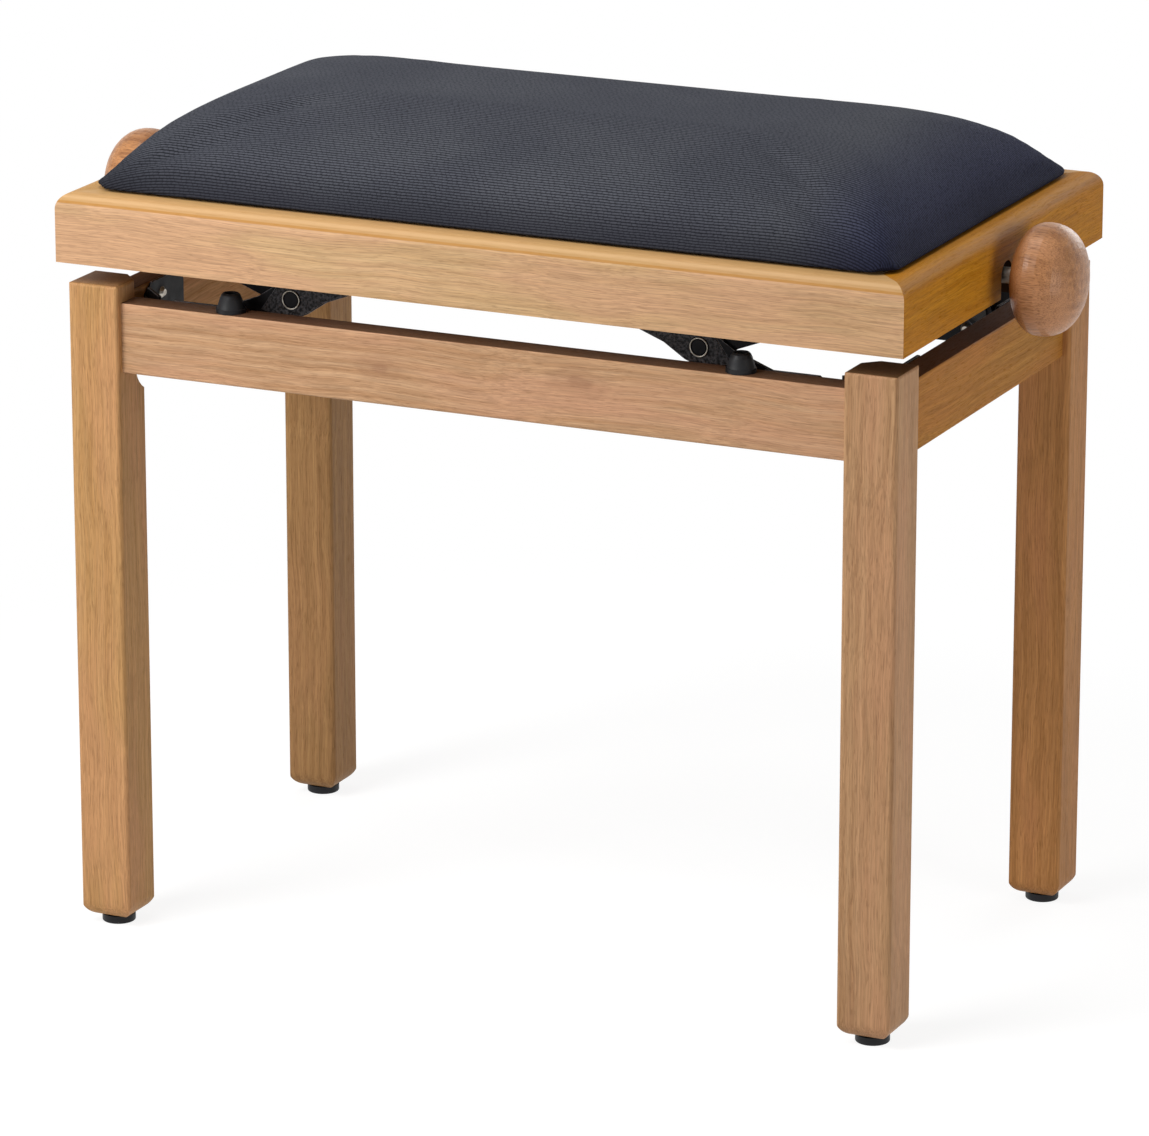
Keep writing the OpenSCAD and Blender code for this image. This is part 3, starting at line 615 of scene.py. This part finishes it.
# %% [markdown]
# ## Eased steel
# Stamped and sawn steel never has a perfectly sharp edge, and it is the thin bright line
# along an edge that shows a dark part. The flat parts are copied from the CAD, their
# doubled corners merged, their sharp edges found by angle and bevelled a few tenths of a
# millimetre. Round eyes stay round because their small turns are below the angle.

# %% Copies of CAD parts
def show(name, form, material, body, replaced=()):
    mesh = bpy.data.meshes.new(name)
    form.to_mesh(mesh)
    form.free()
    mesh.materials.append(material)
    piece = bpy.data.objects.new(name, mesh)
    scene.collection.objects.link(piece)
    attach(piece, body)
    if replaced:
        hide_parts(*replaced)
    return piece


def body_of_node(node):
    return frame["nodes"][node]["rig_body"]


def merged_copy(node):
    form = bmesh.new()
    form.from_mesh(frame["nodes"][node].data)
    bmesh.ops.remove_doubles(form, verts=form.verts, dist=0.002 * MM)
    bmesh.ops.dissolve_limit(form, angle_limit=math.radians(0.5), verts=form.verts,
                             edges=form.edges, delimit={"NORMAL"})
    return form


sample = merged_copy("long_arm_left_front")
print("a long arm merges to", len(sample.verts), "corners")
sample.free()

# %% [markdown]
# The bevel gets the second material, a paler steel that is a painted highlight, so the
# bright line follows every edge exactly. Weighted normals keep the flats flat although all
# faces are smooth.

# %% Ease the flat steel
def ease(node, width, material, edge_material):
    form = merged_copy(node)
    sharp = [e for e in form.edges if len(e.link_faces) == 2
             and e.calc_face_angle(0) > math.radians(35)]
    made = bmesh.ops.bevel(form, geom=sharp, offset=width, offset_type="OFFSET",
                           affect="EDGES", segments=2, profile=0.5, material=-1,
                           clamp_overlap=True)
    for face in form.faces:
        face.smooth = True
    for face in made["faces"]:
        face.material_index = 1
    piece = show("eased_" + node, form, material, body_of_node(node), [node])
    piece.data.materials.append(edge_material)
    flats = piece.modifiers.new("flat_faces", "WEIGHTED_NORMAL")
    flats.weight = 80
    return piece


ARMS = [f"{kind}_arm_{side}_{end}" for kind in ("long", "short")
        for side in ("left", "right") for end in ("front", "back")]
CORNERS = [f"corner_bracket_{end}_{side}" for end in ("front", "back")
           for side in ("left", "right")]
PAIRS = [f"{part}_{side}" for part in ("base_bracket", "top_bracket", "nut_bar", "rod_bearing")
         for side in ("left", "right")]
EASE_WIDTH = 0.3 * MM
for part in ARMS + CORNERS + PAIRS:
    eased = ease(part, EASE_WIDTH, black_steel, painted_glint_edge)
    if part.startswith("long_arm"):
        # the raised face is painted a paler, blotchy grey
        eased.data.materials.append(pale_face_steel)
        raised = max(abs(corner.y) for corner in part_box(part)) - 0.05 * MM
        for face in eased.data.polygons:
            if abs(face.center.y) > raised:
                face.material_index = 2
print("eased", len(ARMS + CORNERS + PAIRS), "steel parts")

# %% [markdown]
# ## Bright details
# The head of each middle rivet has a thin bright zinc ring, a painted highlight on its rim.
# A small circle is spun round the rivet's axis, which runs across the bench.

# %% Rivet rims
def ring(name, centre, radius, tube, material, body, slot):
    form = bmesh.new()
    bmesh.ops.create_circle(form, segments=8, radius=tube,
                            matrix=Matrix.Translation((radius, 0, 0)))
    bmesh.ops.spin(form, geom=form.verts[:] + form.edges[:], cent=(0, 0, 0), axis=(0, 1, 0),
                   angle=2 * math.pi, steps=40, use_merge=True)
    bmesh.ops.remove_doubles(form, verts=form.verts, dist=0.001 * MM)
    bmesh.ops.recalc_face_normals(form, faces=form.faces)
    bmesh.ops.translate(form, vec=centre, verts=form.verts)
    for face in form.faces:
        face.smooth = True
    return show(name, form, material, body)


RIM_TUBE = 0.45 * MM
for side in ("left", "right"):
    low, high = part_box("mid_pivots_" + side)
    rim_radius = (high.x - low.x) / 2 - RIM_TUBE
    for end, y in (("front", low.y), ("back", high.y)):
        middle = ((low.x + high.x) / 2, y, (low.z + high.z) / 2)
        # the bright zinc ring is a painted highlight on the rivet's rim
        ring(f"rivet_rim_{side}_{end}", middle, rim_radius, RIM_TUBE, zinc_steel,
             f"long_arms_{side}", "zinc_steel")
print("rivet rims are", round(2000 * (rim_radius + RIM_TUBE), 1), "mm across")

# %% [markdown]
# The spindle is threaded on both halves, right-handed on one and left-handed on the other,
# so that one turn draws both nuts outwards. A thread is a tooth of one pitch that is spun
# round the axis while it moves along it: dvec is the step along the axis at each turn of
# the spin, and its sign sets the hand. The plain ends are turned from an outline.

# %% Threaded spindle
PITCH = 3 * MM
THREAD_FROM, THREAD_TO = 27 * MM, 150 * MM
TURN_STEPS = 20
CHAMFER = 0.6 * MM


def thread(form, side):
    low_radius, high_radius = 4.15 * MM, 4.95 * MM
    tooth = [(0.0, low_radius), (0.8 * MM, low_radius), (1.35 * MM, high_radius),
             (2.3 * MM, high_radius), (PITCH, low_radius)]
    points = [form.verts.new((side * (THREAD_FROM + x), 0, r)) for x, r in tooth]
    edges = [form.edges.new(pair) for pair in zip(points, points[1:])]
    turns = int((THREAD_TO - THREAD_FROM) / PITCH)
    bmesh.ops.spin(form, geom=points + edges, cent=(0, 0, 0), axis=(1, 0, 0),
                   dvec=(side * PITCH / TURN_STEPS, 0, 0), angle=2 * math.pi * turns,
                   steps=TURN_STEPS * turns)


def turned(form, outline):
    """Spins an outline of (place along X, radius) points round the X axis."""
    points = [form.verts.new((x, 0, r)) for x, r in outline]
    edges = [form.edges.new(pair) for pair in zip(points, points[1:])]
    bmesh.ops.spin(form, geom=points + edges, cent=(0, 0, 0), axis=(1, 0, 0),
                   angle=2 * math.pi, steps=32, use_merge=True)


form = bmesh.new()
screw_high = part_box("drive_screw")[1]
shaft, end = screw_high.z - spindle_z, screw_high.x
inner, outer = THREAD_FROM + 2 * PITCH, THREAD_TO - PITCH
turned(form, [(-inner, 0), (-inner, shaft - CHAMFER), (CHAMFER - inner, shaft),
              (inner - CHAMFER, shaft), (inner, shaft - CHAMFER), (inner, 0)])
for side in (-1, 1):
    thread(form, side)
    turned(form, [(side * outer, 0), (side * outer, shaft - CHAMFER),
                  (side * (outer + CHAMFER), shaft), (side * (end - 0.8 * MM), shaft),
                  (side * end, shaft - 0.8 * MM), (side * end, 0)])
bmesh.ops.remove_doubles(form, verts=form.verts, dist=0.002 * MM)
bmesh.ops.holes_fill(form, edges=[e for e in form.edges if e.is_boundary], sides=0)
bmesh.ops.recalc_face_normals(form, faces=form.faces)
bmesh.ops.translate(form, vec=(0, 0, spindle_z), verts=form.verts)
spindle = show("threaded_spindle", form, zinc_steel, "drive", ["drive_screw"])
print("spindle has", len(spindle.data.polygons), "faces, pitch", 1000 * PITCH, "mm")

# %% [markdown]
# ## The seat cushion
# The seat is a foam block on a board under a ribbed stretch cloth, pulled down all round.
# The foam pushes out against the cloth, so the sides bulge and the top crowns. Cloth
# simulation gives exactly that: a slightly small copy of the CAD form is remeshed evenly,
# blown up with a little air pressure, and held at the board. How far a point may move is
# capped, so the seat keeps its size. One subdivision then makes it smooth.

# %% Blow up the cushion
cushion_low, cushion_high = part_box("cushion")
SHRINK = 2.5 * MM
CAP = 6 * MM
VOXEL = 5 * MM


def applied(thing):
    graph = bpy.context.evaluated_depsgraph_get()
    mesh = bpy.data.meshes.new_from_object(thing.evaluated_get(graph))
    old = thing.data
    thing.modifiers.clear()
    thing.data = mesh
    bpy.data.meshes.remove(old)
    return mesh


def coordinates(mesh):
    flat = np.empty(len(mesh.vertices) * 3)
    mesh.vertices.foreach_get("co", flat)
    return flat.reshape(-1, 3)


def write_coordinates(mesh, points):
    mesh.vertices.foreach_set("co", points.ravel())
    mesh.update()


def start_cushion():
    form = bmesh.new()
    form.from_mesh(frame["nodes"]["cushion"].data)
    bmesh.ops.remove_doubles(form, verts=form.verts, dist=0.01 * MM)
    middle = Vector((0, 0, cushion_low.z))
    size = cushion_high - cushion_low
    factors = [1 - 2 * SHRINK / size.x, 1 - 2 * SHRINK / size.y, 1 - SHRINK / size.z]
    bmesh.ops.scale(form, vec=factors, space=Matrix.Translation(-middle), verts=form.verts)
    mesh = bpy.data.meshes.new("seat_cushion")
    form.to_mesh(mesh)
    form.free()
    thing = bpy.data.objects.new("seat_cushion", mesh)
    scene.collection.objects.link(thing)
    even = thing.modifiers.new("even", "REMESH")
    even.mode, even.voxel_size, even.use_smooth_shade = "VOXEL", VOXEL, True
    applied(thing)
    return thing


cushion = start_cushion()
print("cushion starts with", len(cushion.data.vertices), "points")

# %% Air pressure
def blow_up(thing, pressure=4.0, held_height=3 * MM, last_frame=20):
    rest = coordinates(thing.data)
    held = [int(i) for i in np.flatnonzero(rest[:, 2] < cushion_low.z + held_height)]
    thing.vertex_groups.new(name="held").add(held, 1.0, "REPLACE")
    cloth = thing.modifiers.new("air", "CLOTH")
    cloth.settings.use_pressure = True
    cloth.settings.uniform_pressure_force = pressure
    cloth.settings.effector_weights.gravity = 0.0
    cloth.settings.vertex_group_mass = "held"
    cloth.point_cache.frame_start, cloth.point_cache.frame_end = 1, last_frame
    for number in range(1, last_frame + 1):
        scene.frame_set(number)
    mesh = applied(thing)
    scene.frame_set(1)
    moved = coordinates(mesh)
    step = moved - rest
    length = np.linalg.norm(step, axis=1)
    step *= (np.minimum(length, CAP) / np.maximum(length, 1e-9))[:, None]
    print("cushion swelled by up to %.1f mm" % (1000 * length.max()))
    write_coordinates(mesh, rest + step)


blow_up(cushion)

# %% [markdown]
# The cloth is folded under at the corners, which leaves small pleats that fan out from
# each corner and die out a few centimetres up. They are shallow waves pushed along the
# surface, one set for each corner. The bottom is kept flat on the board.

# %% Corner pleats
def pleat(thing, reach=46 * MM, depth=0.45 * MM, folds=5):
    mesh = thing.data
    points = coordinates(mesh)
    normals = np.array([v.normal for v in mesh.vertices])
    for sx in (-1, 1):
        for sy in (-1, 1):
            corner = np.array([sx * (cushion_high.x - 3 * MM), sy * (cushion_high.y - 3 * MM)])
            away = (corner - points[:, :2]) * [sx, sy]
            distance = np.hypot(away[:, 0], away[:, 1])
            turn = np.arctan2(away[:, 1], away[:, 0])
            fade = np.clip(1 - distance / reach, 0, 1) ** 1.5 * np.clip(distance / (8 * MM), 0, 1)
            side = np.clip((turn + 0.1) / 0.5, 0, 1) * np.clip((1.67 - turn) / 0.5, 0, 1)
            wave = -0.5 + 0.5 * np.cos(turn * 2 * folds)
            points += normals * (depth * wave * fade * side)[:, None]
    points[:, 2] = np.maximum(points[:, 2], cushion_low.z + 0.05 * MM)
    write_coordinates(mesh, points)


print("pleats ready")

# %% [markdown]
# One subdivision smooths the seat. Towards the ends the foam is a little fuller than air
# pressure alone makes it, so the cloth is lifted there, most of it 30 mm in from the end.

# %% Smoothing and fuller ends
def smooth_copy(thing):
    soft = thing.modifiers.new("soft", "SUBSURF")
    soft.levels = soft.render_levels = 1
    applied(thing)
    for face in thing.data.polygons:
        face.use_smooth = True


def fill_ends(thing, rise=3.2 * MM, peak=30 * MM, inwards=120 * MM, full_height=25 * MM):
    """Firmer foam towards the ends: lifts the cloth there, but not at its rim."""
    points = coordinates(thing.data)
    from_end = cushion_high.x - np.abs(points[:, 0])
    along = np.clip(np.minimum(from_end / peak, 1 - (from_end - peak) / inwards), 0, 1)
    above = np.clip((points[:, 2] - cushion_low.z) / full_height, 0, 1)
    points[:, 2] += rise * along ** 2 * (3 - 2 * along) * above
    write_coordinates(thing.data, points)


smooth_copy(cushion)
fill_ends(cushion)
print("crown stands %.1f mm over the board's edge"
      % (1000 * (coordinates(cushion.data)[:, 2].max() - cushion_low.z)))

# %% [markdown]
# Along its lower edge the cloth is drawn out and tucked under, which gives a crisp line on
# the wood. Every point near the board moves outwards along its shortest way to the edge,
# fully at the bottom and not at all a centimetre up.

# %% Tucked edge
def tuck(thing, height=10 * MM, radius=4 * MM, over=(2.0 * MM, 1.2 * MM)):
    """Draws the lowest part out to a crisp line just past the board's edge."""
    mesh = thing.data
    points = coordinates(mesh)
    half = np.array([cushion_high.x + over[0], cushion_high.y + over[1]])
    past = np.abs(points[:, :2]) - (half - radius)
    outside = np.maximum(past, 0)
    length = np.linalg.norm(outside, axis=1)
    inwards = np.maximum(-past.max(axis=1), 0)
    depth = radius - length + inwards
    ahead = np.where(length[:, None] > 0, outside / np.maximum(length, 1e-9)[:, None],
                     past == past.max(axis=1)[:, None]) * np.sign(points[:, :2])
    # near a corner the cloth is drawn towards it, so the corner stays sharp
    spot = half - np.abs(points[:, :2])
    diagonal = np.clip(1 - np.hypot(spot[:, 0], spot[:, 1]) / (20 * MM), 0, 1)
    ahead += np.sign(points[:, :2]) * (spot / np.maximum(depth, 0.5 * MM)[:, None] - 1
                                       ) * (0.6 * diagonal)[:, None]
    up = np.clip((points[:, 2] - cushion_low.z - 1.5 * MM) / height, 0, 1)
    weight = (1 - up) ** 2 * np.clip((14 * MM - depth) / (6 * MM), 0, 1)
    points[:, :2] += ahead * (depth * weight)[:, None]
    write_coordinates(mesh, points)


tuck(cushion)
pleat(cushion)
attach(cushion, "seat")
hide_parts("cushion")
print("cushion has", len(cushion.data.polygons), "faces and is",
      [round(1000 * d, 1) for d in cushion.dimensions], "mm")

# %% [markdown]
# The ribs of the cloth run along the seat and keep their distance where the surface turns
# down, because cloth does not stretch on a slope. So the pattern needs the length along
# the cloth, not plain Y. The seat is probed from above on a grid, the lengths are summed
# outwards from the middle, and the result goes into the piece's own UV map, in metres.

# %% Measure along the cloth
def map_cloth(thing, across=150, along=90, steepest=1.7):
    mesh = thing.data
    tree = BVHTree.FromObject(thing, bpy.context.evaluated_depsgraph_get())
    xs = np.linspace(-cushion_high.x, cushion_high.x, along)
    ys = np.linspace(0, cushion_high.y, across)
    table, tops_of = {}, {}
    for side in (-1, 1):
        tops = np.full((along, across), cushion_low.z)
        for i, x in enumerate(xs):
            for j, y in enumerate(ys):
                hit = tree.ray_cast(Vector((x, side * y, cushion_high.z + 0.1)), Vector((0, 0, -1)))
                if hit[0] is not None:
                    tops[i, j] = hit[0].z
        falls = np.diff(tops, axis=1)
        steps = np.hypot(falls, np.diff(ys)[None, :])
        # past the first steep step the cloth goes straight down
        steep = np.cumsum(falls < -steepest * ys[1], axis=1) > 0
        steps[steep] = 0
        for i in range(along):
            last = int(np.argmax(steep[i])) if steep[i].any() else across - 1
            tops[i, last + 1:] = tops[i, last]
        table[side] = np.hstack([np.zeros((along, 1)), np.cumsum(steps, axis=1)])
        tops_of[side] = tops
    points = coordinates(mesh)
    gx = np.clip((points[:, 0] - xs[0]) / (xs[1] - xs[0]), 0, along - 1.001)
    gy = np.clip(np.abs(points[:, 1]) / ys[1], 0, across - 1.001)
    i, j = gx.astype(int), gy.astype(int)
    fx, fy = gx - i, gy - j
    length = np.zeros(len(points))
    for side in (-1, 1):
        t = table[side]
        value = ((t[i, j] * (1 - fx) + t[i + 1, j] * fx) * (1 - fy)
                 + (t[i, j + 1] * (1 - fx) + t[i + 1, j + 1] * fx) * fy)
        here = points[:, 1] * side >= 0
        length[here] = side * value[here]
        # on the upright rim the cloth runs on down the side
        roof = ((tops_of[side][i, j] * (1 - fx) + tops_of[side][i + 1, j] * fx) * (1 - fy)
                + (tops_of[side][i, j + 1] * (1 - fx) + tops_of[side][i + 1, j + 1] * fx) * fy)
        length[here] += side * np.maximum(roof - points[:, 2], 0)[here]
    corner = np.empty(len(mesh.loops), dtype=int)
    mesh.loops.foreach_get("vertex_index", corner)
    uv = np.stack([points[corner, 0], length[corner]], axis=1)
    layer = mesh.uv_layers.new(name="cloth_metres")
    layer.data.foreach_set("uv", uv.ravel())
    print("cloth measures %.0f mm from side to side" % (1000 * (length.max() - length.min())))


map_cloth(cushion)

# %% [markdown]
# The cloth itself: rounded ribs about 2 mm apart, with dark dashes between them that start
# and stop from rib to rib, in charcoal with a breath of blue. The group gives a height for
# the bump and a shade for the colour. Slow noise keeps the dashes from lining up, and fine
# fuzz softens both.

# %% Ribbed weave group
RIB = 2.05 * MM
STITCH = 3.4 * MM


def build_ribbed_weave():
    group, inside, way_out = start_group(
        "ribbed_weave", [("Cloth", "Vector", (0, 0, 0))], [("Shade", "Float"), ("Height", "Float")])
    parts = add(group, "SeparateXYZ", {0: inside["Cloth"]}).outputs
    row = maths(group, "DIVIDE", parts["Y"], RIB)
    wobble = add(group, "TexNoise", {"Vector": inside["Cloth"], "Scale": 60.0,
                                     "Detail": 1.0}).outputs["Fac"]
    row = maths(group, "ADD", row, maths(group, "MULTIPLY", wobble, 0.5))
    ridge = maths(group, "ABSOLUTE", maths(group, "SINE", maths(group, "MULTIPLY", row, math.pi)))
    ridge = maths(group, "POWER", ridge, 0.8)
    stagger = maths(group, "MULTIPLY", maths(group, "FLOOR", row), 0.37)
    column = maths(group, "ADD", maths(group, "DIVIDE", parts["X"], STITCH), stagger)
    drift = add(group, "TexNoise", {"Vector": inside["Cloth"], "Scale": 170.0,
                                    "Detail": 1.0}).outputs["Fac"]
    column = maths(group, "ADD", column, maths(group, "MULTIPLY", drift, 1.8))
    stitch = maths(group, "ABSOLUTE",
                   maths(group, "SINE", maths(group, "MULTIPLY", column, math.pi)))
    stitch = spread(group, stitch, 0.0, 0.6, 0.62, 1.0)
    uneven = add(group, "TexNoise", {"Vector": inside["Cloth"], "Scale": 420.0,
                                     "Detail": 1.0}).outputs["Fac"]
    stitch = maths(group, "MULTIPLY", stitch, spread(group, uneven, 0.3, 0.7, 0.82, 1.1))
    fuzz = add(group, "TexNoise", {"Vector": inside["Cloth"], "Scale": 2400.0,
                                   "Detail": 2.0}).outputs["Fac"]
    height = maths(group, "MULTIPLY", ridge, stitch)
    height = maths(group, "ADD", height, maths(group, "MULTIPLY", fuzz, 0.25))
    shade = spread(group, height, 0.10, 1.15)
    return finish_group(group, way_out, {"Shade": shade, "Height": height})


ribbed_weave = build_ribbed_weave()

# %% [markdown]
# The material reads the seat's own UV map, so its ribs follow the cloth. It is almost
# without gloss, with a trace of sheen from the fuzz. The cloth is painted darker low down,
# as painted shade near the board, and towards its ends, as painted shade that is bluer at
# the right-hand end.

# %% Cloth material
material, tree, shader = start_material("ribbed_cloth")
cloth_place = add(tree, "UVMap", uv_map="cloth_metres").outputs[0]
weave = add(tree, "Group", {"Cloth": cloth_place}, node_tree=ribbed_weave)
where = add(tree, "TexCoord").outputs["Object"]
dusty = add(tree, "TexNoise", {"Vector": where, "Scale": 14.0, "Detail": 3.0}).outputs["Fac"]
rib_color = blended(tree, spread(tree, dusty, 0.35, 0.7), srgb(78, 80, 88), srgb(86, 88, 95))
color = blended(tree, weave.outputs["Shade"], srgb(14, 14, 19), rib_color)
# painted shade low down, near the board
low_shade_part = height_band(tree, where, cushion_low.z - 14 * MM, cushion_low.z + 12 * MM, 14 * MM)
color = blended(tree, maths(tree, "MULTIPLY", low_shade_part, 0.70), color, srgb(20, 19, 27))
across = add(tree, "SeparateXYZ", {0: where}).outputs["X"]
# side, weight and colour of the painted shade at each end; the right-hand one is bluer
END_SHADES = [(1, 0.95, (0.44, 0.46, 0.80, 1)), (-1, 0.5, (0.62, 0.62, 0.62, 1))]
END_REACH = 76 * MM
for side, weight, shade in END_SHADES:
    end_part = spread(tree, maths(tree, "MULTIPLY", across, side),
                      cushion_high.x - END_REACH, cushion_high.x, 0.0, weight)
    color = blended(tree, end_part, color, shade, "MULTIPLY")
bump = add(tree, "Bump", {"Height": weave.outputs["Height"], "Strength": 0.7,
                          "Distance": 0.0006})
feed(tree, shader, {"Base Color": color, "Normal": bump.outputs[0], "Roughness": 0.9,
                    "Sheen Weight": 0.03, "Sheen Roughness": 0.45,
                    "Sheen Tint": srgb(150, 158, 178), "Specular IOR Level": 0.08})
cushion.data.materials.clear()
cushion.data.materials.append(material)
print("cushion dressed in ribbed cloth")
